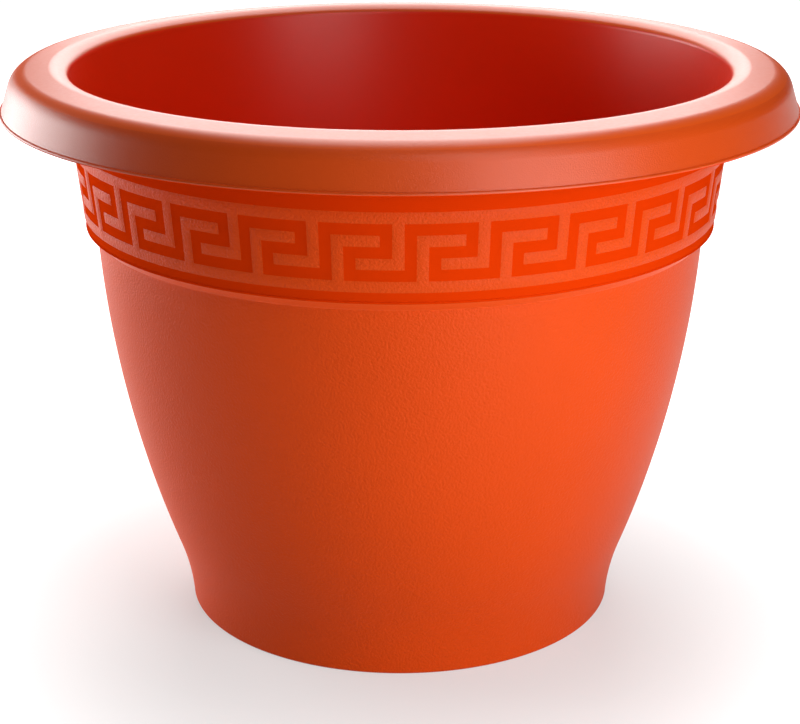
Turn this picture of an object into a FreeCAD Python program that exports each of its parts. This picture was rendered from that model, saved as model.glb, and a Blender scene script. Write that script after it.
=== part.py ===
"""Terracotta coloured plastic flower pot with a meander band and four push-in drain plugs.

Millimetres. The origin is the centre of the foot on the ground, +Z is up and the front is -Y.
"""

import FreeCAD, Part
import os
from enum import IntEnum
from math import acos, asin, atan2, cos, degrees, hypot, radians, sin, tan

import Sketcher

SIZES = {
    # foot ring and floor
    "foot_radius": 113.0,
    "foot_land": 2.0,
    "foot_height": 36.0,
    "foot_flare": 7.6,
    "floor_lift": 8.0,
    "floor_thickness": 3.0,
    # bowl wall and the step out to the band
    "wall": 2.6,
    "bowl_height": 168.0,
    "bowl_flare": 35.2,
    "bowl_curve": 575.0,
    "step_height": 4.4,
    "step_out": 5.6,
    # raised band, whose meander is drawn on squares of one unit
    "band_draft": 6.1,
    "key_unit": 5.42,
    "key_count": 27,
    "key_turn": 4.04,
    "key_depth": 0.5,
    "lip_height": 1.3,
    # collar, and the rim with its inner edge, its crown and the skirt that turns down
    "collar_height": 38.2,
    "collar_draft": 6.1,
    "rim_edge": 4.4,
    "rim_set": 9.4,
    "rim_crown": 12.0,
    "rim_flat": 10.72,
    "rim_slope": 5.95,
    "shoulder_radius": 11.4,
    "skirt_flare": 17.3,
    "skirt_drop": 21.9,
    "bead_radius": 0.9,
    "bead_out": 1.2,
    # drain holes and their plugs
    "drain_circle": 62.0,
    "drain_radius": 9.0,
    "plug_clearance": 0.3,
    "flange_reach": 5.0,
    "flange_thickness": 2.4,
    "shank_below": 1.8,
    "shank_taper": 0.8,
    "grip_length": 14.0,
    "grip_width": 3.2,
    "grip_stem": 3.0,
}

# One motif of the meander is this many units wide and high, between a stripe of one unit above and below.
MOTIF_COLUMNS = 7
MOTIF_ROWS = 5
STRIPE_ROWS = 1

# The raised ground of one motif as (first column, columns, first row, rows), counted from the lower left.
RAISED_BARS = {
    "rising_strip": (1, 1, 0, 4),
    "rising_hook": (2, 3, 3, 1),
    "hanging_strip": (6, 1, 1, 4),
    "hanging_hook": (3, 3, 1, 1),
}

# Each plug's name and its direction from the centre of the floor, in degrees from +X.
PLUGS = {
    "drain_plug_back_right": 45,
    "drain_plug_back_left": 135,
    "drain_plug_front_left": 225,
    "drain_plug_front_right": 315,
}

BOWL_TOP = "(sizes.foot_height + sizes.bowl_height)"
BOWL_TOP_RADIUS = "(sizes.foot_radius + sizes.foot_flare + sizes.bowl_flare)"
BAND_FOOT = f"({BOWL_TOP} + sizes.step_height)"
BAND_RADIUS = f"({BOWL_TOP_RADIUS} + sizes.step_out)"
KEY_ROW = 1 + STRIPE_ROWS
BAND_ROWS = KEY_ROW + MOTIF_ROWS + STRIPE_ROWS
POT_HEIGHT = f"({BAND_FOOT} + {BAND_ROWS} * sizes.key_unit + sizes.collar_height)"
FLOOR_TOP = "(sizes.floor_lift + sizes.floor_thickness)"
COLUMN_ANGLE = f"(360 / (sizes.key_count * {MOTIF_COLUMNS}))"

NORMAL = FreeCAD.Vector(0, 0, 1)
UPRIGHT = FreeCAD.Rotation(FreeCAD.Vector(1, 0, 0), 90)
ABOUT_UPRIGHT_EDGE = FreeCAD.Rotation(FreeCAD.Vector(0, 1, 0), 1)


class Point(IntEnum):
    """Where a point lies on a sketch element."""

    START = 1
    END = 2
    CENTRE = 3


ORIGIN = (-1, Point.START)


def write_sheet(doc):
    """Put the driving dimensions in a sheet, one named cell each."""
    sheet = doc.addObject("Spreadsheet::Sheet", "sizes")
    for row, (alias, value) in enumerate(SIZES.items(), start=1):
        sheet.set(f"A{row}", alias)
        sheet.set(f"B{row}", str(value))
        sheet.setAlias(f"B{row}", alias)
    doc.recompute()
    return sheet


def band_rise(rows):
    """Height above the foot of the band after so many rows of units."""
    return f"({rows} * sizes.key_unit)"


def band_surface(rise, depth="0"):
    """Radius of the band at a rise above its foot, so deep below the raised ground."""
    return f"({BAND_RADIUS} + {rise} * tan(sizes.band_draft) - {depth})"


def bind(sketch, kind, place, expression):
    """Add a dimension to a sketch and tie it to the sheet."""
    value = sketch.evalExpression(expression)
    index = sketch.addConstraint(Sketcher.Constraint(kind, *place, value))
    sketch.setExpression(f"Constraints[{index}]", expression)


def bind_point(sketch, point, across, up):
    """Tie a point's two coordinates to the sheet."""
    bind(sketch, "DistanceX", (*ORIGIN, *point), across)
    bind(sketch, "DistanceY", (*ORIGIN, *point), up)


def join(sketch, first, second):
    """Make two points of a sketch one."""
    sketch.addConstraint(Sketcher.Constraint("Coincident", *first, *second))


def smooth(sketch, first, second):
    """Join two elements at a point where they are tangent."""
    sketch.addConstraint(Sketcher.Constraint("Tangent", *first, *second))


def add_line(sketch, start, end):
    return sketch.addGeometry(Part.LineSegment(FreeCAD.Vector(*start), FreeCAD.Vector(*end)))


def add_arc(sketch, centre, radius, first_degrees, last_degrees):
    circle = Part.Circle(FreeCAD.Vector(*centre), NORMAL, radius)
    return sketch.addGeometry(Part.ArcOfCircle(circle, radians(first_degrees), radians(last_degrees)))


def add_polygon(sketch, corners):
    """Draw a closed outline whose corners are pairs of expressions."""
    points = [tuple(sketch.evalExpression(text) for text in corner) + (0,) for corner in corners]
    edges = [add_line(sketch, point, points[(at + 1) % len(points)]) for at, point in enumerate(points)]
    for at, edge in enumerate(edges):
        join(sketch, (edge, Point.END), (edges[(at + 1) % len(edges)], Point.START))
    for edge, corner in zip(edges, corners):
        bind_point(sketch, (edge, Point.START), *corner)


def origin_feature(body, role):
    return next(item for item in body.Origin.OriginFeatures if item.Role == role)


def new_sketch(body, name, plane):
    """Start a sketch on one of the body's own planes."""
    sketch = body.newObject("Sketcher::SketchObject", name)
    sketch.AttachmentSupport = [(origin_feature(body, plane), "")]
    sketch.MapMode = "FlatFace"
    return sketch


def revolve(body, name, sketch, angle=None):
    """Turn a sketch about the upright axis, all the way round or by an angle."""
    feature = body.newObject("PartDesign::Revolution", name)
    feature.Profile = sketch
    feature.ReferenceAxis = (sketch, ["V_Axis"])
    if angle:
        feature.setExpression("Angle", angle)
    return feature


def draw_wall_line(doc, size):
    """Draw the outer line of the wall, from the foot up the bowl and on along the underside of the rim."""
    sketch = doc.addObject("Sketcher::SketchObject", "wall_line")
    sketch.Placement = FreeCAD.Placement(FreeCAD.Vector(), UPRIGHT)

    band_floor = sketch.evalExpression(band_surface("0", "sizes.key_depth"))
    band_top = sketch.evalExpression(band_surface(band_rise(BAND_ROWS), "sizes.key_depth"))
    pot_height = sketch.evalExpression(POT_HEIGHT)
    bowl_top = (sketch.evalExpression(BOWL_TOP_RADIUS), sketch.evalExpression(BOWL_TOP), 0)
    band_foot = (band_floor, sketch.evalExpression(BAND_FOOT), 0)
    collar_foot = (band_top, sketch.evalExpression(f"{BAND_FOOT} + {band_rise(BAND_ROWS)}"), 0)
    land_top = (size.foot_radius, size.foot_land, 0)
    crown = size.rim_crown - size.wall
    edge = size.rim_edge - size.wall
    shoulder = size.shoulder_radius - size.wall
    crown_centre = (band_top + size.rim_set, pot_height - size.rim_crown, 0)
    draft = radians(size.collar_draft)
    crown_reach = size.rim_set * cos(draft) - (crown_centre[1] - collar_foot[1]) * sin(draft)
    turn_over = draft + acos((edge - crown_reach) / (edge - crown))
    edge_centre = (
        crown_centre[0] + (edge - crown) * cos(turn_over),
        crown_centre[1] - (edge - crown) * sin(turn_over),
        0,
    )
    collar_top = (edge_centre[0] - edge * cos(draft), edge_centre[1] + edge * sin(draft), 0)
    slope = radians(size.rim_slope)
    web_start = (crown_centre[0] + crown * sin(slope), crown_centre[1] + crown * cos(slope), 0)
    web_end = (web_start[0] + size.rim_flat * cos(slope), web_start[1] - size.rim_flat * sin(slope), 0)
    shoulder_centre = (web_end[0] - shoulder * sin(slope), web_end[1] - shoulder * cos(slope), 0)
    lean = radians(size.skirt_flare)
    skirt_top = (shoulder_centre[0] + shoulder * cos(lean), shoulder_centre[1] + shoulder * sin(lean), 0)
    skirt_height = pot_height - size.skirt_drop
    skirt_end = (skirt_top[0] + (skirt_top[1] - skirt_height) * tan(lean), skirt_height, 0)

    bowl_tilt = atan2(size.bowl_flare, size.bowl_height)
    half_arc = asin(hypot(size.bowl_flare, size.bowl_height) / 2 / size.bowl_curve)
    low_lean = bowl_tilt + half_arc
    high_lean = bowl_tilt - half_arc
    bowl_centre = (
        bowl_top[0] - size.bowl_curve * cos(high_lean),
        bowl_top[1] + size.bowl_curve * sin(high_lean),
        0,
    )
    foot_curve = size.foot_height / sin(low_lean)
    foot_centre = (size.foot_radius + foot_curve, size.foot_land, 0)
    land = add_line(sketch, (size.foot_radius, 0, 0), land_top)
    foot = add_arc(sketch, foot_centre, foot_curve, 180 - degrees(low_lean), 180)
    bowl = add_arc(sketch, bowl_centre, size.bowl_curve, -degrees(low_lean), -degrees(high_lean))
    step = add_line(sketch, bowl_top, band_foot)
    band = add_line(sketch, band_foot, collar_foot)
    collar = add_line(sketch, collar_foot, collar_top)
    inner_edge = add_arc(sketch, edge_centre, edge, 180 - degrees(turn_over), 180 - size.collar_draft)
    top_crown = add_arc(sketch, crown_centre, crown, 90 - size.rim_slope, 180 - degrees(turn_over))
    web = add_line(sketch, web_start, web_end)
    outer_turn = add_arc(sketch, shoulder_centre, shoulder, size.skirt_flare, 90 - size.rim_slope)
    skirt = add_line(sketch, skirt_top, skirt_end)

    sketch.addConstraint(Sketcher.Constraint("Vertical", land))
    join(sketch, (land, Point.END), (foot, Point.END))
    smooth(sketch, (foot, Point.START), (bowl, Point.START))
    join(sketch, (bowl, Point.END), (step, Point.START))
    join(sketch, (step, Point.END), (band, Point.START))
    join(sketch, (band, Point.END), (collar, Point.START))
    smooth(sketch, (collar, Point.END), (inner_edge, Point.END))
    smooth(sketch, (inner_edge, Point.START), (top_crown, Point.END))
    smooth(sketch, (top_crown, Point.START), (web, Point.START))
    smooth(sketch, (web, Point.END), (outer_turn, Point.END))
    smooth(sketch, (outer_turn, Point.START), (skirt, Point.START))

    bind_point(sketch, (land, Point.START), "sizes.foot_radius", "0")
    bind(sketch, "DistanceY", (*ORIGIN, land, Point.END), "sizes.foot_land")
    bind_point(sketch, (bowl, Point.START), "sizes.foot_radius + sizes.foot_flare", "sizes.foot_height")
    bind_point(sketch, (bowl, Point.END), BOWL_TOP_RADIUS, BOWL_TOP)
    bind(sketch, "Radius", (bowl,), "sizes.bowl_curve")
    bind_point(sketch, (band, Point.START), band_surface("0", "sizes.key_depth"), BAND_FOOT)
    bind_point(
        sketch,
        (band, Point.END),
        band_surface(band_rise(BAND_ROWS), "sizes.key_depth"),
        f"{BAND_FOOT} + {band_rise(BAND_ROWS)}",
    )
    bind(sketch, "Angle", (collar,), "(90 - sizes.collar_draft) * 1 deg")
    bind(sketch, "Radius", (inner_edge,), "sizes.rim_edge - sizes.wall")
    bind(sketch, "Radius", (top_crown,), "sizes.rim_crown - sizes.wall")
    bind_point(
        sketch,
        (top_crown, Point.CENTRE),
        band_surface(band_rise(BAND_ROWS), "sizes.key_depth") + " + sizes.rim_set",
        f"{POT_HEIGHT} - sizes.rim_crown",
    )
    bind(sketch, "Angle", (web,), "-sizes.rim_slope * 1 deg")
    bind(sketch, "Distance", (web,), "sizes.rim_flat")
    bind(sketch, "Radius", (outer_turn,), "sizes.shoulder_radius - sizes.wall")
    bind(sketch, "DistanceY", (*ORIGIN, skirt, Point.END), f"{POT_HEIGHT} - sizes.skirt_drop")
    bind(sketch, "Angle", (skirt,), "(sizes.skirt_flare - 90) * 1 deg")
    reach = sketch.addConstraint(Sketcher.Constraint("DistanceX", *ORIGIN, skirt, Point.END, skirt_end[0]))
    sketch.setDriving(reach, False)
    sketch.renameConstraint(reach, "skirt_end")
    return sketch


def make_wall(doc, line):
    """Thicken the wall line inwards and turn it round the axis."""
    section = doc.addObject("Part::Offset2D", "wall_section")
    section.Source = line
    section.setExpression("Value", "sizes.wall")
    section.Mode = "Skin"
    section.Join = "Intersection"
    section.Fill = True
    wall = doc.addObject("Part::Revolution", "wall_ring")
    wall.Source = section
    wall.Axis = NORMAL
    wall.Angle = 360
    wall.Solid = True
    return wall


def make_bead(doc):
    """Round off the lower edge of the rim's skirt with a bead that stands out a little."""
    bead = doc.addObject("Part::Torus", "rim_bead")
    half_wall = "sizes.wall / 2"
    wall_middle = f"wall_line.Constraints.skirt_end / 1 mm + {half_wall} * cos(sizes.skirt_flare)"
    bead.setExpression("Radius1", f"{wall_middle} + sizes.bead_out")
    bead.setExpression("Radius2", "sizes.bead_radius")
    bead.setExpression(
        ".Placement.Base.z",
        f"{POT_HEIGHT} - sizes.skirt_drop + {half_wall} * sin(sizes.skirt_flare)",
    )
    return bead


def make_floor(doc):
    """Close the foot with a floor that ends inside the wall."""
    floor = doc.addObject("Part::Cylinder", "floor_disc")
    floor.setExpression("Radius", "sizes.foot_radius - sizes.wall / 4")
    floor.setExpression("Height", "sizes.floor_thickness")
    floor.setExpression(".Placement.Base.z", "sizes.floor_lift")
    return floor


def make_band(doc):
    """Make the raised stripes and the meander's raised ground, on a ring sunk in the wall."""
    body = doc.addObject("PartDesign::Body", "band_relief")
    ring_face = "(sizes.key_depth + sizes.wall / 4)"
    ring_back = "(sizes.key_depth + sizes.wall * 3 / 4)"

    def corner(rise, depth="0"):
        return band_surface(rise, depth), f"{BAND_FOOT} + {rise}"

    def tooth(low, high):
        return [corner(low, ring_face), corner(low), corner(high), corner(high, ring_face)]

    foot = band_rise(0)
    top = band_rise(BAND_ROWS)
    lower_stripe = tooth(band_rise(1), band_rise(KEY_ROW))
    lip = [corner(foot), corner("sizes.lip_height"), corner("sizes.lip_height", ring_face)]
    upper_stripe = tooth(band_rise(KEY_ROW + MOTIF_ROWS), top)[:3]
    outline = [corner(foot, ring_back), *lip, *lower_stripe, *upper_stripe, corner(top, ring_back)]
    stripes = new_sketch(body, "stripe_section", "XZ_Plane")
    add_polygon(stripes, outline)
    revolve(body, "stripes", stripes)

    bars = []
    for name, (column, columns, row, rows) in RAISED_BARS.items():
        section = new_sketch(body, f"{name}_section", "XZ_Plane")
        section.AttachmentOffset = FreeCAD.Placement(FreeCAD.Vector(), ABOUT_UPRIGHT_EDGE)
        section.setExpression(
            ".AttachmentOffset.Rotation.Angle",
            f"sizes.key_turn + {column} * {COLUMN_ANGLE}",
        )
        add_polygon(section, tooth(band_rise(KEY_ROW + row), band_rise(KEY_ROW + row + rows)))
        bars.append(revolve(body, name, section, f"{columns} * {COLUMN_ANGLE}"))

    pattern = body.newObject("PartDesign::PolarPattern", "meander")
    pattern.Originals = bars
    pattern.Axis = (origin_feature(body, "Z_Axis"), [""])
    pattern.Angle = 360
    pattern.setExpression("Occurrences", "sizes.key_count")
    body.Tip = pattern
    return body


def place_at_drain(item, direction, height):
    """Stand an object on the axis of the drain hole that lies in this direction."""
    item.Placement = FreeCAD.Placement(FreeCAD.Vector(), FreeCAD.Rotation(NORMAL, direction))
    item.setExpression(".Placement.Base.x", f"sizes.drain_circle * cos({direction})")
    item.setExpression(".Placement.Base.y", f"sizes.drain_circle * sin({direction})")
    item.setExpression(".Placement.Base.z", height)


def make_drain_holes(doc):
    """Make the cutters of the drain holes, from the ground to the top of the floor."""
    holes = []
    for name, direction in PLUGS.items():
        hole = doc.addObject("Part::Cylinder", name.replace("plug", "hole"))
        hole.setExpression("Radius", "sizes.drain_radius")
        hole.setExpression("Height", FLOOR_TOP)
        place_at_drain(hole, direction, "0")
        holes.append(hole)
    cutters = doc.addObject("Part::Compound", "drain_holes")
    cutters.Links = holes
    return cutters


def make_pot_shell(doc, size):
    """Join the wall, floor, bead and band into the one moulding and open its drain holes."""
    wall = make_wall(doc, draw_wall_line(doc, size))
    moulding = doc.addObject("Part::MultiFuse", "moulding")
    moulding.Shapes = [wall, make_floor(doc), make_bead(doc), make_band(doc)]
    shell = doc.addObject("Part::Cut", "pot_shell")
    shell.Base = moulding
    shell.Tool = make_drain_holes(doc)
    return shell


def make_plug(doc, name, direction):
    """Make a mushroom plug whose flange lies on the floor and whose shank fills the hole."""
    body = doc.addObject("PartDesign::Body", name)
    shank = "sizes.drain_radius - sizes.plug_clearance"
    flange = "sizes.drain_radius + sizes.flange_reach"
    tip = "-(sizes.floor_thickness + sizes.shank_below)"
    section = new_sketch(body, f"{name}_section", "XZ_Plane")
    add_polygon(
        section,
        [
            ("0", tip),
            (f"{shank} - sizes.shank_taper", tip),
            (shank, "-sizes.floor_thickness"),
            (shank, "0"),
            (flange, "0"),
            (flange, "sizes.flange_thickness"),
            ("0", "sizes.flange_thickness"),
        ],
    )
    revolve(body, f"{name}_turning", section)

    half = "sizes.grip_length / 2"
    crown_foot = "sizes.flange_thickness + sizes.grip_stem"
    outline = new_sketch(body, f"{name}_grip_outline", "XZ_Plane")
    reach = outline.evalExpression(half)
    seat = outline.evalExpression("sizes.flange_thickness")
    spring = outline.evalExpression(crown_foot)
    base = add_line(outline, (-reach, seat, 0), (reach, seat, 0))
    right = add_line(outline, (reach, seat, 0), (reach, spring, 0))
    crown = add_arc(outline, (0, spring, 0), reach, 0, 180)
    left = add_line(outline, (-reach, spring, 0), (-reach, seat, 0))
    outline.addConstraint(Sketcher.Constraint("Horizontal", base))
    outline.addConstraint(Sketcher.Constraint("Vertical", right))
    outline.addConstraint(Sketcher.Constraint("Vertical", left))
    join(outline, (base, Point.END), (right, Point.START))
    smooth(outline, (right, Point.END), (crown, Point.START))
    smooth(outline, (crown, Point.END), (left, Point.START))
    join(outline, (left, Point.END), (base, Point.START))
    bind_point(outline, (base, Point.START), f"-{half}", "sizes.flange_thickness")
    bind(outline, "DistanceX", (base, Point.START, base, Point.END), "sizes.grip_length")
    bind(outline, "DistanceY", (*ORIGIN, crown, Point.CENTRE), crown_foot)
    grip = body.newObject("PartDesign::Pad", f"{name}_grip")
    grip.Profile = outline
    grip.Midplane = True
    grip.setExpression("Length", "sizes.grip_width")
    body.Tip = grip
    place_at_drain(body, direction, FLOOR_TOP)
    return body


def check(doc, parts):
    """Stop if a feature failed or a sub-part isn't one valid solid."""
    failed = [item.Name for item in doc.Objects if {"Invalid", "Error"} & set(item.State)]
    if failed:
        raise RuntimeError(f"failed features: {failed}")
    for part in parts:
        if part.Shape.isNull() or not part.Shape.isValid() or len(part.Shape.Solids) != 1:
            raise RuntimeError(f"{part.Label} is not one valid solid")


def main():
    doc = FreeCAD.newDocument("flower_pot")
    size = write_sheet(doc)
    parts = [make_pot_shell(doc, size)]
    parts += [make_plug(doc, name, direction) for name, direction in PLUGS.items()]
    doc.recompute()
    check(doc, parts)
    os.makedirs("parts", exist_ok=True)
    for part in parts:
        part.Shape.exportStep(os.path.join("parts", f"{part.Label}.step"))
        box = part.Shape.optimalBoundingBox()
        print(f"{part.Label}: {part.Shape.Volume:.1f} mm3, {box.XLength:.2f} wide, top at {box.ZMax:.2f}")


main()
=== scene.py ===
"""Terracotta coloured plastic flower pot with a meander band, dressed around its CAD frame."""

from collections import namedtuple
from math import acos, asin, atan2, cos, hypot, pi, radians, sin, tan

import bmesh
import bpy
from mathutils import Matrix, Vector


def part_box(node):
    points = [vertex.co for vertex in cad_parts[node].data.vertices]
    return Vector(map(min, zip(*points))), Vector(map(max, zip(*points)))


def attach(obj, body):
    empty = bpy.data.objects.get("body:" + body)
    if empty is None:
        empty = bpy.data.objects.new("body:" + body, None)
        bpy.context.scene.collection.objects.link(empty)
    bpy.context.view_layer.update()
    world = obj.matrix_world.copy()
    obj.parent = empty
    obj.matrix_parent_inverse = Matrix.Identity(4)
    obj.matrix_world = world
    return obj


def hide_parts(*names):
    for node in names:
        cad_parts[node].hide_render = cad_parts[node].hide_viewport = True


bl_info = {
    "name": "Meander Flower Pot",
    "version": (1, 0, 0),
    "blender": (4, 5, 0),
    "location": "View3D > Sidebar > Flower Pot",
    "description": "Models a moulded flower pot with its drain plugs, its plastics and a studio",
    "category": "Add Mesh",
}

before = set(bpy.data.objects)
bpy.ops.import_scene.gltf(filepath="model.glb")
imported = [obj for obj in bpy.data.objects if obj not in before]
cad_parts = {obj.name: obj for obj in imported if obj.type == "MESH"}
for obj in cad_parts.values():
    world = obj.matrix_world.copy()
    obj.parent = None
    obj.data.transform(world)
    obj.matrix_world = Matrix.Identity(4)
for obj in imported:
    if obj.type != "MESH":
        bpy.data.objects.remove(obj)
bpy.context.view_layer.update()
POT_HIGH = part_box("pot_shell")[1]

# The meander is drawn on a grid of units: one motif is 7 units wide and 5 high.
MOTIF_COLUMNS = 7
KEY_ROW = 2
BAND_ROWS = 8

# The raised ground of one motif as (first column, columns, first row, rows), from the lower left.
RAISED_BARS = (
    (1, 1, 0, 4),
    (2, 3, 3, 1),
    (6, 1, 1, 4),
    (3, 3, 1, 1),
)

# Roughness, gloss, grains per metre, height of the grain in metres and unevenness of the colour.
Finish = namedtuple("Finish", "roughness gloss grain_scale grain_height mottle")

# The pot's finishes in the order of its material slots, named as their colours are; five of those colours
# carry painted light and shade, told at each colour.
FINISHES = {
    "grained": Finish(0.5, 0.13, 850.0, 0.0004, 0.05),
    "smooth": Finish(0.36, 0.0, 500.0, 0.00001, 0.03),
    "inside": Finish(0.34, 0.42, 300.0, 0.00001, 0.03),
    "rim": Finish(0.36, 0.45, 1600.0, 0.0001, 0.04),
    "rim_top": Finish(0.38, 0.4, 500.0, 0.00002, 0.04),
    "step": Finish(0.4, 0.3, 1000.0, 0.0001, 0.04),
}
PLUG_FINISH = Finish(0.42, 0.4, 900.0, 0.00003, 0.04)
CLOUD_SCALE = 14.0
CLOUD_DETAIL = 3.0
GRAIN_DETAIL = 2.0
ROUGHNESS_SPREAD = 0.05
PLASTIC_IOR = 1.5

# The upward part of a face's normal that parts one zone of the pot from the next.
FLOOR_TILT = 0.5
UNDER_RIM_TILT = 0.2
RIM_TOP_TILT = -0.1
RIM_SIDE_TILT = 0.75
STEP_TILT = -0.4

# Degrees to the right of the front and above the horizon, distance, width and height in metres, brightness.
Lamp = namedtuple("Lamp", "around above distance spread brightness")
LAMPS = {
    "key_box": Lamp(34, 3, 0.62, (0.40, 0.42), 4.35),
    "upper_box": Lamp(28, 40, 1.0, (0.5, 0.5), 2.8),
    "left_box": Lamp(-118, 3, 1.5, (1.3, 0.9), 6.4),
    "back_box": Lamp(180, 45, 1.5, (1.05, 2.3), 4.7),
}
AIM_SHARE = 0.7
SURROUND_STRENGTH = 0.03

# The floor's side and greys, and how its own light grows from the pot's foot outwards, so that a painted
# shade rings the foot beside the real shadow.
FLOOR_SIDE = 14
FLOOR_GREY = 0.72
SHADOW_GREY = 0.45
GLOW_REACH = (0.11, 0.36)
GLOW_STRENGTH = (0.45, 1.0)

# How finely round forms are divided.
BOWL_STEPS = 44
FOOT_STEPS = 10
BEAD_STEPS = 24
ROUND_STEPS = 64
TAB_STEPS = 14
SOFT_EDGE_STEPS = 3

# Steps of the rim's inner edge, crown and shoulder, on its hollow side and on its outer side.
HOLLOW_STEPS = (6, 8, 12)
OUTER_STEPS = (12, 12, 20)

# Edges that turn by more than these degrees stay sharp.
POT_SMOOTH_ANGLE = 32
PLUG_SMOOTH_ANGLE = 35

# Lengths under this one count as none.
SEAM = 1e-6
SENSOR_WIDTH = 36

# Each plug's CAD node, the body that it rides on and its direction from the centre, in degrees from +X.
PLUGS = {
    "drain_plug_back_right": ("back_right_plug", 45),
    "drain_plug_back_left": ("back_left_plug", 135),
    "drain_plug_front_left": ("front_left_plug", 225),
    "drain_plug_front_right": ("front_right_plug", 315),
}


def length(name, description, default):
    """A size in metres that a user can change."""
    return bpy.props.FloatProperty(
        name=name, description=description, default=default, unit="LENGTH", subtype="DISTANCE", precision=5
    )


def turn(name, description, default):
    """An angle that a user can change, with its default in degrees."""
    return bpy.props.FloatProperty(
        name=name, description=description, default=radians(default), unit="ROTATION", subtype="ANGLE"
    )


def colour(name, description, default):
    """A scene linear colour that a user can change."""
    return bpy.props.FloatVectorProperty(
        name=name, description=description, default=default, size=3, min=0, max=1, subtype="COLOR"
    )


class PotSizes(bpy.types.PropertyGroup):
    """Sizes of the moulding."""

    height: length("Height", "Top of the rim above the ground", POT_HIGH.z)
    wall: length("Wall", "Thickness of the moulded wall", 0.0026)
    foot_radius: length("Foot radius", "Outer radius of the foot ring", 0.113)
    foot_land: length("Foot land", "Upright stretch at the bottom of the foot", 0.002)
    foot_edge: length("Foot edge", "Rounding of the foot's lower edge", 0.0014)
    foot_height: length("Foot height", "Height where the hollow of the foot turns into the bowl", 0.036)
    foot_flare: length("Foot flare", "How far the foot widens up to there", 0.0076)
    floor_lift: length("Floor lift", "Underside of the floor above the ground", 0.008)
    floor_thickness: length("Floor thickness", "Thickness of the floor", 0.003)
    bowl_height: length("Bowl height", "Height of the bowl's curve", 0.168)
    bowl_flare: length("Bowl flare", "How far the bowl widens", 0.0352)
    bowl_curve: length("Bowl curve", "Radius of the bowl's bulge", 0.575)
    step_height: length("Step height", "Height of the slope under the band", 0.0044)
    step_out: length("Step out", "How far the band stands out from the bowl", 0.0056)
    band_draft: turn("Band draft", "Lean of the band", 6.1)
    key_unit: length("Key unit", "Height of one unit of the meander", 0.00542)
    key_count: bpy.props.IntProperty(
        name="Key count", description="Motifs round the pot", default=27, min=3
    )
    key_turn: turn("Key turn", "Direction of the first motif from +X", 4.04)
    key_depth: length("Key depth", "Height of the raised ground", 0.0005)
    key_slope: length("Key slope", "Width of the raised ground's sloping sides", 0.00095)
    lip_height: length("Lip height", "Height of the raised line at the foot of the band", 0.0013)
    collar_draft: turn("Collar draft", "Lean of the collar above the band", 6.1)
    rim_edge: length("Rim edge", "Radius of the rim's inner edge", 0.0044)
    rim_set: length("Rim set", "How far the crown's middle stands out from the collar's foot", 0.0094)
    rim_crown: length("Rim crown", "Radius of the rim's domed top", 0.012)
    rim_flat: length("Rim flat", "Width of the straight stretch of the rim's top", 0.01072)
    rim_slope: turn("Rim slope", "How far the rim's top falls outwards", 5.95)
    shoulder_radius: length("Shoulder radius", "Radius of the rim's outer shoulder", 0.0114)
    skirt_flare: turn("Skirt flare", "Lean of the skirt", 17.3)
    skirt_drop: length("Skirt drop", "Drop from the rim's top to the end of the skirt", 0.0219)
    bead_radius: length("Bead radius", "Radius of the bead along the skirt's edge", 0.0009)
    bead_out: length("Bead out", "How far the bead stands out from the middle of the wall", 0.0012)


class PlugSizes(bpy.types.PropertyGroup):
    """Sizes of a drain plug."""

    hole_radius: length("Hole radius", "Radius of a drain hole", 0.009)
    hole_depth: length("Hole depth", "How far a hole is cut above and below the plug's tip", 0.01)
    clearance: length("Clearance", "Gap round the shank", 0.0003)
    flange_radius: length("Flange radius", "Radius of the flange", 0.014)
    flange_thickness: length("Flange thickness", "Thickness of the flange", 0.0024)
    shank_below: length("Shank below", "How far the shank's tip comes out under the floor", 0.0018)
    shank_taper: length("Shank taper", "How much slimmer the tip is", 0.0008)
    grip_length: length("Grip length", "Length of the pull tab", 0.014)
    grip_width: length("Grip width", "Thickness of the pull tab", 0.0032)
    grip_stem: length("Grip stem", "Height of the tab's straight sides", 0.003)
    edge: length("Edge", "Rounding of the plug's edges", 0.0006)


class PlasticColours(bpy.types.PropertyGroup):
    """Colours of the plastics, scene linear. The pot is one plastic, and its smooth, inside, rim, rim top
    and step colours carry painted light and shade.
    """

    grained: colour("Grained plastic", "Sand grained outside", (0.71, 0.064, 0.002))
    # The smooth finish is real; its darker colour is painted shade in the band's grooves and lip, under the
    # rim and under the floor.
    smooth: colour("Smooth plastic", "Grooves of the band and underside", (0.68, 0.038, 0.001))
    # Painted glow: the glossy inside is brighter and deeper red than the outside, for the light that
    # bounces round inside the pot.
    inside: colour("Inside", "Glossy inner wall and floor", (0.74, 0.026, 0.001))
    # Painted shade: the rim's shoulder and skirt are darker than the body of the same plastic, for the
    # bounced light that the skirt misses.
    rim: colour("Rim plastic", "Sand grained shoulder and skirt of the rim", (0.58, 0.06, 0.003))
    # Painted highlight: the rim's top is paler than its shoulder and skirt, though the pot is one plastic.
    rim_top: colour("Rim top", "Satin top of the rim", (0.65, 0.075, 0.003))
    # Painted reflection: the slope under the band is paler than the body, for the light and floor mirrored
    # in it.
    step: colour("Step", "Slope under the band", (0.82, 0.08, 0.004))
    plug: colour("Plug", "Drain plugs", (0.5, 0.035, 0.006))


class StudioSettings(bpy.types.PropertyGroup):
    """Camera of the studio."""

    distance: length("Distance", "Camera in front of the pot's axis", 1.0168)
    height: length("Height", "Camera above the ground", 0.474)
    pitch: turn("Pitch", "How far the camera looks down", 18.87)
    lens: bpy.props.FloatProperty(
        name="Lens", description="Focal length on a 36 mm wide sensor, in millimetres", default=90.72, min=1
    )


def arc(centre, radius, start, end, steps):
    """Points of an arc from one angle to another, in radians."""
    angles = [start + (end - start) * at / steps for at in range(steps + 1)]
    return [(centre[0] + radius * cos(angle), centre[1] + radius * sin(angle)) for angle in angles]


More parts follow.
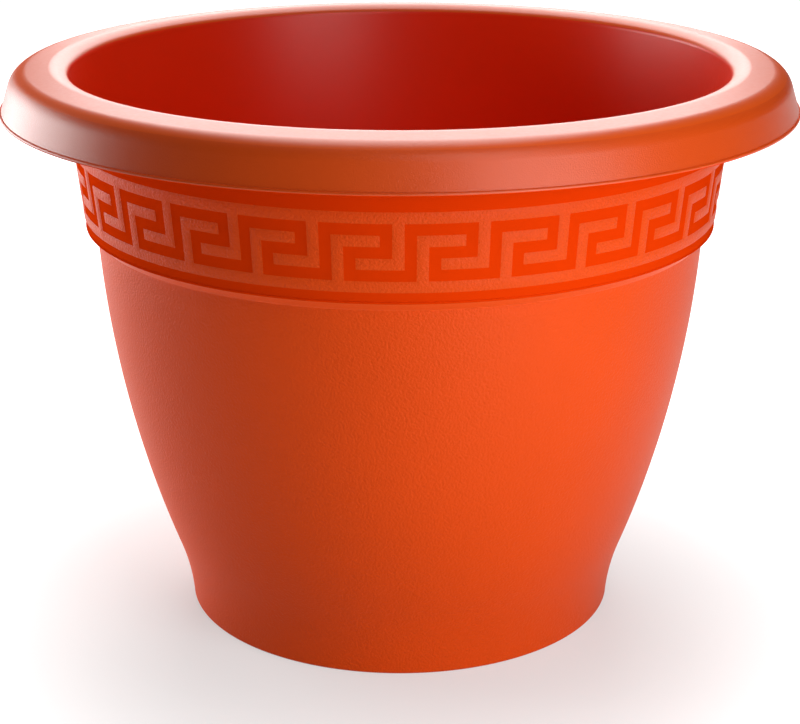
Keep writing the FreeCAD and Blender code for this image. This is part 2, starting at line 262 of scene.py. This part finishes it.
def rounded(corners, step=radians(9)):
    """Points of an outline whose corners, given as (across, up, radius), are rounded."""
    points = []
    for at, (across, up, radius) in enumerate(corners):
        corner = Vector((across, up))
        if not radius:
            points.append(corner)
            continue
        back = (Vector(corners[at - 1][:2]) - corner).normalized()
        ahead = (Vector(corners[at + 1][:2]) - corner).normalized()
        opening = acos(max(-1, min(1, back.dot(ahead))))
        middle = corner + (back + ahead).normalized() * radius / sin(opening / 2)
        first = corner + back * radius / tan(opening / 2)
        last = corner + ahead * radius / tan(opening / 2)
        start = first - middle
        sweep = start.angle_signed(last - middle)
        steps = max(2, round(abs(sweep) / step))
        angle = atan2(start.y, start.x)
        points += [Vector(point) for point in arc(middle, radius, angle, angle - sweep, steps)]
    return points


def inset(corner, before, after, depth):
    """A line's corner moved to the left, where the lines before and after it run in these directions."""
    first = Vector((-before.y, before.x)).normalized()
    second = Vector((-after.y, after.x)).normalized()
    return corner + (first + second) * depth / (1 + first.dot(second))


class PotSection:
    """The lines of the moulding's section, worked out from its sizes."""

    def __init__(self, size):
        self.size = size
        self.bowl_foot = (size.foot_radius + size.foot_flare, size.foot_height)
        self.bowl_top = (self.bowl_foot[0] + size.bowl_flare, size.foot_height + size.bowl_height)
        tilt = atan2(size.bowl_flare, size.bowl_height)
        half_arc = asin(hypot(size.bowl_flare, size.bowl_height) / 2 / size.bowl_curve)
        self.low_lean = tilt + half_arc
        self.high_lean = tilt - half_arc
        self.bowl_centre = (
            self.bowl_top[0] - size.bowl_curve * cos(self.high_lean),
            self.bowl_top[1] + size.bowl_curve * sin(self.high_lean),
        )
        # The hollow of the foot is tangent to the bowl and ends at the top of the land.
        outward = Vector((cos(self.low_lean), -sin(self.low_lean)))
        span = Vector((size.foot_radius, size.foot_land)) - Vector(self.bowl_foot)
        self.foot_curve = span.length_squared / (2 * span.dot(outward))
        self.foot_centre = Vector(self.bowl_foot) + outward * self.foot_curve
        self.land_angle = pi - asin((size.foot_land - self.foot_centre.y) / self.foot_curve)
        self.band_foot = self.bowl_top[1] + size.step_height
        self.band_top = self.band_foot + BAND_ROWS * size.key_unit
        self.collar_foot = Vector((self.band_floor(self.band_top), self.band_top))
        # The rim's inner edge is tangent to the collar and to the crown.
        self.crown = Vector((self.collar_foot.x + size.rim_set, size.height - size.rim_crown))
        apart = size.rim_edge - size.rim_crown
        reach = (self.crown - self.collar_foot).dot((cos(size.collar_draft), -sin(size.collar_draft)))
        turn_over = size.collar_draft + acos((size.rim_edge - size.wall - reach) / apart)
        self.edge = self.crown + Vector((cos(turn_over), -sin(turn_over))) * apart
        self.blend = pi - turn_over

    def band_floor(self, height):
        """Radius of the band's grooves at a height."""
        size = self.size
        raised = self.bowl_top[0] + size.step_out + (height - self.band_foot) * tan(size.band_draft)
        return raised - size.key_depth

    def band_heights(self):
        """Heights of the band's rows and of the lip's upper edge, from below."""
        size = self.size
        rows = [self.band_foot + row * size.key_unit for row in range(BAND_ROWS + 1)]
        return [rows[0], rows[0] + size.lip_height, *rows[1:]]

    def bowl(self, depth):
        """The bowl's curve from foot to top, moved inwards by a depth."""
        radius = self.size.bowl_curve - depth
        return arc(self.bowl_centre, radius, -self.low_lean, -self.high_lean, BOWL_STEPS)

    def foot(self, depth):
        """The hollow curve of the foot from the land up to the bowl, moved inwards by a depth."""
        radius = self.foot_curve + depth
        return arc(self.foot_centre, radius, self.land_angle, pi - self.low_lean, FOOT_STEPS)

    def bead(self, skirt_end):
        """The bead's outline from the skirt's lower end round to its outer side."""
        size = self.size
        flare = size.skirt_flare
        middle = skirt_end + Vector((cos(flare), sin(flare))) * size.wall / 2 + Vector((size.bead_out, 0))
        first = flare + pi - asin(size.bead_out * sin(flare) / size.bead_radius)
        last = flare + 2 * pi + acos((size.wall / 2 - size.bead_out * cos(flare)) / size.bead_radius)
        return arc(middle, size.bead_radius, first, last, BEAD_STEPS)

    def corners(self):
        """Corners of the whole section, from the axis under the floor round the wall to the axis."""
        size = self.size
        wall = size.wall
        foot_in = size.foot_radius - wall
        floor_top = size.floor_lift + size.floor_thickness
        bowl_top = Vector(self.bowl_top)
        band_foot = Vector((self.band_floor(self.band_foot), self.band_foot))

        collar_angle = pi - size.collar_draft
        top_angle = pi / 2 - size.rim_slope
        top_facing = Vector((cos(top_angle), sin(top_angle)))
        along_top = Vector((sin(top_angle), -cos(top_angle)))
        top_end = self.crown + top_facing * size.rim_crown + along_top * size.rim_flat
        shoulder = top_end - top_facing * size.shoulder_radius
        flare = size.skirt_flare
        skirt_in = shoulder + Vector((cos(flare), sin(flare))) * (size.shoulder_radius - wall)
        skirt_fall = skirt_in.y - size.height + size.skirt_drop
        skirt_end = skirt_in + Vector((tan(flare), -1)) * skirt_fall

        def straight(points):
            return [(across, up, 0) for across, up in points]

        outside = [
            (0, size.floor_lift, 0),
            (foot_in, size.floor_lift, wall / 2),
            (foot_in, 0, size.foot_edge / 2),
            (size.foot_radius, 0, size.foot_edge),
            *straight(self.foot(0)),
            *straight(self.bowl(0)[1:-1]),
            (*bowl_top, wall / 3),
            *straight((self.band_floor(up), up) for up in self.band_heights()),
        ]
        hollow_edge, hollow_crown, hollow_shoulder = HOLLOW_STEPS
        outer_edge, outer_crown, outer_shoulder = OUTER_STEPS
        rim = [
            *arc(self.edge, size.rim_edge - wall, collar_angle, self.blend, hollow_edge),
            *arc(self.crown, size.rim_crown - wall, self.blend, top_angle, hollow_crown)[1:],
            *arc(shoulder, size.shoulder_radius - wall, top_angle, flare, hollow_shoulder),
            skirt_end,
            *self.bead(skirt_end),
            *arc(shoulder, size.shoulder_radius, flare, top_angle, outer_shoulder),
            *arc(self.crown, size.rim_crown, top_angle, self.blend, outer_crown),
            *arc(self.edge, size.rim_edge, self.blend, collar_angle, outer_edge)[1:],
        ]
        step = band_foot - bowl_top
        band = self.collar_foot - band_foot
        collar = Vector((sin(size.collar_draft), cos(size.collar_draft)))
        bowl_end = Vector((sin(self.high_lean), cos(self.high_lean)))
        inner_hollow = [point for point in self.foot(wall)[::-1] if point[1] > floor_top + 2 * wall]
        inside = [
            (*inset(self.collar_foot, band, collar, wall), 0),
            (*inset(band_foot, step, band, wall), wall),
            (*inset(bowl_top, bowl_end, step, wall), wall),
            *straight(self.bowl(wall)[-2:0:-1]),
            *straight(inner_hollow),
            (foot_in, floor_top, wall),
            (0, floor_top, 0),
        ]
        return outside + straight(rim) + inside


def deselect_all():
    """Leave edit mode with nothing selected."""
    if bpy.context.mode != "OBJECT":
        bpy.ops.object.mode_set(mode="OBJECT")
    bpy.ops.object.select_all(action="DESELECT")


def activate(piece):
    """Make one object the only selected one."""
    deselect_all()
    piece.select_set(True)
    bpy.context.view_layer.objects.active = piece


def apply_modifier(piece, kind, **settings):
    """Give a piece a modifier and apply it."""
    activate(piece)
    bpy.ops.object.modifier_add(type=kind)
    modifier = piece.modifiers[-1]
    for name, value in settings.items():
        setattr(modifier, name, value)
    bpy.ops.object.modifier_apply(modifier=modifier.name)


def select_faces(piece, wanted):
    """In edit mode, select the faces whose centre and normal pass a test."""
    bpy.ops.mesh.select_mode(type="FACE")
    bpy.ops.mesh.select_all(action="DESELECT")
    mesh = bmesh.from_edit_mesh(piece.data)
    for face in mesh.faces:
        if wanted(face.calc_center_median(), face.normal):
            face.select_set(True)
    bmesh.update_edit_mesh(piece.data)


def select_edges(piece, wanted):
    """In edit mode, select the edges whose two ends pass a test."""
    bpy.ops.mesh.select_mode(type="EDGE")
    bpy.ops.mesh.select_all(action="DESELECT")
    mesh = bmesh.from_edit_mesh(piece.data)
    for edge in mesh.edges:
        if wanted(*(end.co for end in edge.verts)):
            edge.select_set(True)
    bmesh.update_edit_mesh(piece.data)


def lathe(name, points, steps, start=0.0):
    """Draw a section by extruding one point along it, and spin it about the upright axis."""
    deselect_all()
    heading = Vector((cos(start), sin(start), 0))

    def place(point):
        return heading * point[0] + Vector((0, 0, point[1]))

    bpy.ops.mesh.primitive_plane_add(size=0.001, location=place(points[0]))
    piece = bpy.context.object
    piece.name = name
    piece.data.name = name
    bpy.ops.object.transform_apply(location=True, rotation=True, scale=True)
    bpy.ops.object.mode_set(mode="EDIT")
    bpy.ops.mesh.select_mode(type="VERT")
    bpy.ops.mesh.select_all(action="SELECT")
    bpy.ops.mesh.merge(type="CENTER")
    for last, point in zip(points, points[1:]):
        bpy.ops.mesh.extrude_region_move(TRANSFORM_OT_translate={"value": place(point) - place(last)})
    bpy.ops.mesh.select_all(action="SELECT")
    bpy.ops.mesh.spin(steps=steps, angle=2 * pi, center=(0, 0, 0), axis=(0, 0, 1))
    bpy.ops.mesh.select_all(action="SELECT")
    bpy.ops.mesh.remove_doubles(threshold=SEAM)
    bpy.ops.mesh.normals_make_consistent(inside=False)
    return piece


def paint(piece, zone):
    """In edit mode, give the selected faces the finish of a zone."""
    piece.active_material_index = list(FINISHES).index(zone)
    bpy.ops.object.material_slot_assign()


def place_piece(piece, body, node):
    """Let a finished piece stand for its CAD node and move with its body."""
    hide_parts(node)
    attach(piece, body)


def shader_nodes(name):
    """Start a material and return it with its nodes, its links and its shader."""
    material = bpy.data.materials.new(name)
    material.use_nodes = True
    nodes = material.node_tree.nodes
    return material, nodes, material.node_tree.links, nodes["Principled BSDF"]


def noise(nodes, links, place, scale, detail):
    """A noise texture on a piece's own coordinates."""
    texture = nodes.new("ShaderNodeTexNoise")
    texture.inputs["Scale"].default_value = scale
    texture.inputs["Detail"].default_value = detail
    links.new(place.outputs["Object"], texture.inputs["Vector"])
    return texture


def moulded_plastic(name, base, finish):
    """Moulded plastic with a grain, slightly uneven in colour and gloss."""
    material, nodes, links, shader = shader_nodes(name)
    place = nodes.new("ShaderNodeTexCoord")
    cloud = noise(nodes, links, place, CLOUD_SCALE, CLOUD_DETAIL)
    tint = nodes.new("ShaderNodeMix")
    tint.data_type = "RGBA"
    tint.inputs["A"].default_value = (*(channel * (1 - finish.mottle) for channel in base), 1)
    tint.inputs["B"].default_value = (*(min(1, channel * (1 + finish.mottle)) for channel in base), 1)
    links.new(cloud.outputs["Fac"], tint.inputs["Factor"])
    links.new(tint.outputs["Result"], shader.inputs["Base Color"])
    grain = noise(nodes, links, place, finish.grain_scale, GRAIN_DETAIL)
    gloss = nodes.new("ShaderNodeMapRange")
    gloss.inputs["To Min"].default_value = finish.roughness - ROUGHNESS_SPREAD
    gloss.inputs["To Max"].default_value = finish.roughness + ROUGHNESS_SPREAD
    links.new(grain.outputs["Fac"], gloss.inputs["Value"])
    links.new(gloss.outputs["Result"], shader.inputs["Roughness"])
    bump = nodes.new("ShaderNodeBump")
    bump.inputs["Strength"].default_value = 1.0
    bump.inputs["Distance"].default_value = finish.grain_height
    links.new(grain.outputs["Fac"], bump.inputs["Height"])
    links.new(bump.outputs["Normal"], shader.inputs["Normal"])
    shader.inputs["IOR"].default_value = PLASTIC_IOR
    shader.inputs["Specular IOR Level"].default_value = finish.gloss
    return material


class POT_OT_shell(bpy.types.Operator):
    """Model the moulded pot from its section and raise the meander on its band"""

    bl_idname = "flower_pot.shell"
    bl_label = "Moulded pot"

    def execute(self, context):
        size = context.scene.pot_sizes
        colours = context.scene.pot_colours
        section = PotSection(size)
        columns = size.key_count * MOTIF_COLUMNS
        pot = lathe("moulded_pot", rounded(section.corners()), columns, size.key_turn)
        for zone, finish in FINISHES.items():
            material = moulded_plastic("terracotta_" + zone, getattr(colours, zone), finish)
            pot.data.materials.append(material)
        self.paint_zones(pot, section)
        self.raise_meander(pot, section)
        bpy.ops.object.mode_set(mode="OBJECT")
        self.drill_drains(pot, context.scene.plug_sizes)
        activate(pot)
        bpy.ops.object.shade_smooth_by_angle(angle=radians(POT_SMOOTH_ANGLE))
        apply_modifier(pot, "WEIGHTED_NORMAL", keep_sharp=True)
        place_piece(pot, "pot", "pot_shell")
        return {"FINISHED"}

    def paint_zones(self, pot, section):
        """Give the rim, the step, the smooth grooves and the inside their own finish and colour: painted
        shade on the rim's sides, grooves, lip, collar and floor's underside, a painted highlight on the
        rim's top, a painted reflection on the step and a painted glow inside.
        """
        size = section.size
        band_radius = section.band_floor(section.band_top)
        rim_foot = size.height - size.skirt_drop

        # Faces of the glossy inside, whose brighter, deeper red colour is a painted glow of light bounced
        # inside the pot.
        def inside(centre, normal):
            reach = Vector((centre.x, centre.y, 0))
            faces_axis = normal.dot(reach) < 0 and centre.z > size.floor_lift + size.floor_thickness / 2
            low = centre.z < size.foot_height and reach.length < size.foot_radius
            floor = normal.z > FLOOR_TILT and low
            return floor or (faces_axis and reach.length < band_radius + size.wall / 2)

        # Faces of the smooth finish with its darker colour: painted shade in the band's grooves and lip, on
        # the collar and hollow under the rim, and under the floor.
        def smooth(centre, normal):
            reach = Vector((centre.x, centre.y, 0))
            on_band = section.band_foot < centre.z and reach.length < band_radius + size.wall / 2
            foot_hollow = centre.z < size.floor_lift * 1.01 and normal.dot(reach) <= 0
            under_rim = centre.z > section.band_top and normal.z < UNDER_RIM_TILT
            return on_band or foot_hollow or (under_rim and not rim(centre, normal))

        def rim(centre, normal):
            reach = Vector((centre.x, centre.y, 0))
            outside = normal.dot(reach) > 0 and reach.length > band_radius + 2 * size.wall
            return centre.z > rim_foot and outside

        # Outer faces of the rim's shoulder and skirt, which get the darker rim colour: painted shade.
        def shaded_rim_side(centre, normal):
            return rim(centre, normal) and normal.z < RIM_SIDE_TILT

        # Upward faces of the rim, which get the paler rim top colour: a painted highlight.
        def rim_top(centre, normal):
            faces_up = centre.z > section.edge.y and normal.z > RIM_TOP_TILT
            return faces_up and not inside(centre, normal)

        # Downward faces of the slope under the band, which get the paler step colour: a painted reflection.
        def step(centre, normal):
            under_band = section.bowl_top[1] - size.wall < centre.z < section.band_foot
            return under_band and normal.z < STEP_TILT

        zones = {"rim_top": rim_top, "step": step, "rim": shaded_rim_side, "smooth": smooth, "inside": inside}
        for zone, wanted in zones.items():
            select_faces(pot, wanted)
            paint(pot, zone)

    def raise_meander(self, pot, section):
        """Raise the lip, the stripes and the meander's ground out of the band with sloping sides."""
        size = section.size
        column_angle = 2 * pi / (size.key_count * MOTIF_COLUMNS)

        def raised(centre, normal):
            radius = hypot(centre.x, centre.y)
            if not section.band_foot < centre.z < section.band_top:
                return False
            if radius < section.band_floor(centre.z) - size.wall / 2:
                return False
            rise = centre.z - section.band_foot
            row = int(rise / size.key_unit)
            if row == 0:
                return rise < size.lip_height
            if row in (KEY_ROW - 1, BAND_ROWS - 1):
                return True
            angle = (atan2(centre.y, centre.x) - size.key_turn) % (2 * pi)
            column = int(angle / column_angle) % MOTIF_COLUMNS
            return any(
                first <= column < first + wide and low <= row - KEY_ROW < low + high
                for first, wide, low, high in RAISED_BARS
            )

        def ground(centre, normal):
            return raised(centre, normal) and centre.z > section.band_foot + size.key_unit

        def lip(centre, normal):
            return raised(centre, normal) and not ground(centre, normal)

        select_faces(pot, ground)
        paint(pot, "grained")
        bpy.ops.mesh.inset(thickness=size.key_slope, depth=size.key_depth, use_even_offset=True)
        select_faces(pot, lip)
        bpy.ops.mesh.inset(thickness=size.lip_height / 3, depth=size.key_depth, use_even_offset=True)

    def drill_drains(self, pot, plug):
        """Cut the drain holes where the CAD plugs stand."""
        deselect_all()
        cutters = []
        for node in PLUGS:
            low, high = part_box(node)
            middle = (low + high) / 2
            bpy.ops.mesh.primitive_cylinder_add(
                vertices=ROUND_STEPS,
                radius=plug.hole_radius,
                depth=2 * plug.hole_depth,
                location=(middle.x, middle.y, low.z),
            )
            cutters.append(bpy.context.object)
        for cutter in cutters:
            cutter.select_set(True)
        bpy.ops.object.join()
        cutter = bpy.context.object
        apply_modifier(pot, "BOOLEAN", operation="DIFFERENCE", object=cutter, solver="EXACT")
        bpy.data.objects.remove(cutter)


class POT_OT_plugs(bpy.types.Operator):
    """Model one push-in drain plug and stand a copy in each hole"""

    bl_idname = "flower_pot.plugs"
    bl_label = "Drain plugs"

    def execute(self, context):
        plug = context.scene.plug_sizes
        floor = context.scene.pot_sizes.floor_thickness
        pattern = self.model(plug, floor)
        plastic = moulded_plastic("plug_smooth", context.scene.pot_colours.plug, PLUG_FINISH)
        pattern.data.materials.append(plastic)
        for node, (body, direction) in PLUGS.items():
            low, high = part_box(node)
            activate(pattern)
            bpy.ops.object.duplicate()
            copy = bpy.context.object
            copy.name = node.replace("drain", "push")
            copy.data.name = copy.name
            middle = (low + high) / 2
            copy.location = (middle.x, middle.y, low.z + floor + plug.shank_below)
            copy.rotation_euler.z = radians(direction)
            bpy.ops.object.transform_apply(location=True, rotation=True, scale=True)
            place_piece(copy, body, node)
        bpy.data.objects.remove(pattern)
        return {"FINISHED"}

    def model(self, plug, floor):
        """Turn the flange and shank, and join a rounded pull tab to them."""
        shank = plug.hole_radius - plug.clearance
        tip = -floor - plug.shank_below
        corners = [
            (0, tip, 0),
            (shank - plug.shank_taper, tip, plug.edge),
            (shank, -floor, plug.edge),
            (shank, 0, 0),
            (plug.flange_radius, 0, plug.edge / 2),
            (plug.flange_radius, plug.flange_thickness, 2 * plug.edge),
            (0, plug.flange_thickness, 0),
        ]
        body = lathe("plug_pattern", rounded(corners), ROUND_STEPS)
        bpy.ops.object.mode_set(mode="OBJECT")
        tab = self.model_tab(plug)
        apply_modifier(body, "BOOLEAN", operation="UNION", object=tab, solver="EXACT")
        bpy.data.objects.remove(tab)
        activate(body)
        bpy.ops.object.shade_smooth_by_angle(angle=radians(PLUG_SMOOTH_ANGLE))
        return body

    def model_tab(self, plug):
        """Round the top of a block over and soften its edges."""
        half = plug.grip_length / 2
        root = plug.flange_thickness / 2
        tall = root + plug.grip_stem + half
        deselect_all()
        bpy.ops.mesh.primitive_cube_add(size=1, location=(0, 0, plug.flange_thickness - root + tall / 2))
        tab = bpy.context.object
        tab.scale = (plug.grip_length, plug.grip_width, tall)
        bpy.ops.object.transform_apply(location=True, rotation=True, scale=True)
        bpy.ops.object.mode_set(mode="EDIT")
        middle = plug.flange_thickness
        select_edges(tab, lambda a, b: min(a.z, b.z) > middle and abs(a.x - b.x) < SEAM)
        almost_half = half * 0.999
        bpy.ops.mesh.bevel(offset=almost_half, segments=TAB_STEPS, affect="EDGES")
        inside_face = plug.grip_width * 0.49

        def on_side(a, b):
            return max(a.z, b.z) > middle and abs(a.y - b.y) < SEAM and abs(a.y) > inside_face

        select_edges(tab, on_side)
        bpy.ops.mesh.bevel(offset=plug.edge, segments=SOFT_EDGE_STEPS, affect="EDGES")
        bpy.ops.object.mode_set(mode="OBJECT")
        return tab


class POT_OT_stage(bpy.types.Operator):
    """Set the pale floor, the studio lamps and the camera"""

    bl_idname = "flower_pot.stage"
    bl_label = "Studio"

    def execute(self, context):
        deselect_all()
        self.lay_floor()
        self.light_world(context.scene)
        for name, lamp in LAMPS.items():
            self.add_lamp(name, lamp)
        self.aim_camera(context.scene)
        context.scene.view_settings.view_transform = "Standard"
        return {"FINISHED"}

    def lay_floor(self):
        """A pale floor that is white to the camera away from the pot, with a painted shade round the foot
        where its own light is weaker.
        """
        bpy.ops.mesh.primitive_plane_add(size=FLOOR_SIDE, location=(0, 0, 0))
        floor = bpy.context.object
        floor.name = "studio_floor"
        material = bpy.data.materials.new("pale_floor")
        material.use_nodes = True
        nodes = material.node_tree.nodes
        links = material.node_tree.links
        nodes.clear()
        matt = nodes.new("ShaderNodeBsdfDiffuse")
        matt.inputs["Color"].default_value = (*[FLOOR_GREY] * 3, 1)
        shaded = nodes.new("ShaderNodeBsdfDiffuse")
        shaded.inputs["Color"].default_value = (*[SHADOW_GREY] * 3, 1)
        place = nodes.new("ShaderNodeTexCoord")
        away = nodes.new("ShaderNodeVectorMath")
        away.operation = "LENGTH"
        links.new(place.outputs["Object"], away.inputs[0])
        # Weaker glow near the foot: painted shade on the floor round the pot.
        fade = nodes.new("ShaderNodeMapRange")
        fade.interpolation_type = "SMOOTHSTEP"
        fade.inputs["From Min"].default_value = GLOW_REACH[0]
        fade.inputs["From Max"].default_value = GLOW_REACH[1]
        fade.inputs["To Min"].default_value = GLOW_STRENGTH[0]
        fade.inputs["To Max"].default_value = GLOW_STRENGTH[1]
        links.new(away.outputs["Value"], fade.inputs["Value"])
        glow = nodes.new("ShaderNodeEmission")
        links.new(fade.outputs["Result"], glow.inputs["Strength"])
        both = nodes.new("ShaderNodeAddShader")
        links.new(shaded.outputs["BSDF"], both.inputs[0])
        links.new(glow.outputs["Emission"], both.inputs[1])
        path = nodes.new("ShaderNodeLightPath")
        choice = nodes.new("ShaderNodeMixShader")
        seen = path.outputs["Is Camera Ray"]
        for ray in ("Is Glossy Ray", "Is Transmission Ray"):
            either = nodes.new("ShaderNodeMath")
            either.operation = "MAXIMUM"
            links.new(seen, either.inputs[0])
            links.new(path.outputs[ray], either.inputs[1])
            seen = either.outputs["Value"]
        links.new(seen, choice.inputs["Fac"])
        links.new(matt.outputs["BSDF"], choice.inputs[1])
        links.new(both.outputs["Shader"], choice.inputs[2])
        output = nodes.new("ShaderNodeOutputMaterial")
        links.new(choice.outputs["Shader"], output.inputs["Surface"])
        floor.data.materials.append(material)

    def light_world(self, scene):
        """A faint even surround that is white to the camera."""
        world = bpy.data.worlds.new("studio_surround")
        scene.world = world
        world.use_nodes = True
        nodes = world.node_tree.nodes
        links = world.node_tree.links
        surround = nodes["Background"]
        surround.inputs["Strength"].default_value = SURROUND_STRENGTH
        white = nodes.new("ShaderNodeBackground")
        path = nodes.new("ShaderNodeLightPath")
        choice = nodes.new("ShaderNodeMixShader")
        surround.inputs["Color"].default_value = (1, 1, 1, 1)
        white.inputs["Color"].default_value = (1, 1, 1, 1)
        links.new(path.outputs["Is Camera Ray"], choice.inputs["Fac"])
        links.new(surround.outputs["Background"], choice.inputs[1])
        links.new(white.outputs["Background"], choice.inputs[2])
        links.new(choice.outputs["Shader"], nodes["World Output"].inputs["Surface"])

    def add_lamp(self, name, lamp):
        """A soft box that faces the pot and that the camera doesn't see."""
        wide, tall = lamp.spread
        data = bpy.data.lights.new(name, "AREA")
        data.shape = "RECTANGLE"
        data.size = wide
        data.size_y = tall
        data.energy = lamp.brightness * pi * wide * tall
        box = bpy.data.objects.new(name, data)
        bpy.context.scene.collection.objects.link(box)
        around = radians(lamp.around)
        level = lamp.distance * cos(radians(lamp.above))
        rise = lamp.distance * sin(radians(lamp.above))
        offset = Vector((level * sin(around), -level * cos(around), rise))
        box.location = offset + Vector((0, 0, POT_HIGH.z * AIM_SHARE))
        box.rotation_euler = (-offset).to_track_quat("-Z", "Y").to_euler()
        box.visible_camera = False

    def aim_camera(self, scene):
        """The camera that the photograph was taken with."""
        studio = scene.studio_settings
        data = bpy.data.cameras.new("studio_camera")
        data.sensor_width = SENSOR_WIDTH
        data.lens = studio.lens
        camera = bpy.data.objects.new("studio_camera", data)
        scene.collection.objects.link(camera)
        camera.location = (0, -studio.distance, studio.height)
        camera.rotation_euler = (pi / 2 - studio.pitch, 0, 0)
        scene.camera = camera


class POT_PT_panel(bpy.types.Panel):
    """Sizes, colours and steps of the flower pot"""

    bl_label = "Flower Pot"
    bl_idname = "POT_PT_panel"
    bl_space_type = "VIEW_3D"
    bl_region_type = "UI"
    bl_category = "Flower Pot"

    def draw(self, context):
        for step in STEPS:
            self.layout.operator(step.bl_idname)
        for name in SETTINGS:
            group = getattr(context.scene, name)
            column = self.layout.column(align=True)
            for field in group.bl_rna.properties:
                if field.identifier not in ("rna_type", "name"):
                    column.prop(group, field.identifier)


STEPS = (POT_OT_shell, POT_OT_plugs, POT_OT_stage)
SETTINGS = {
    "pot_sizes": PotSizes,
    "plug_sizes": PlugSizes,
    "pot_colours": PlasticColours,
    "studio_settings": StudioSettings,
}


def register():
    for group in SETTINGS.values():
        bpy.utils.register_class(group)
    for name, group in SETTINGS.items():
        setattr(bpy.types.Scene, name, bpy.props.PointerProperty(type=group))
    for step in STEPS:
        bpy.utils.register_class(step)
    bpy.utils.register_class(POT_PT_panel)


def unregister():
    bpy.utils.unregister_class(POT_PT_panel)
    for step in reversed(STEPS):
        bpy.utils.unregister_class(step)
    for name, group in SETTINGS.items():
        delattr(bpy.types.Scene, name)
        bpy.utils.unregister_class(group)


def main():
    register()
    bpy.ops.flower_pot.shell()
    bpy.ops.flower_pot.plugs()
    bpy.ops.flower_pot.stage()


if __name__ == "__main__":
    main()
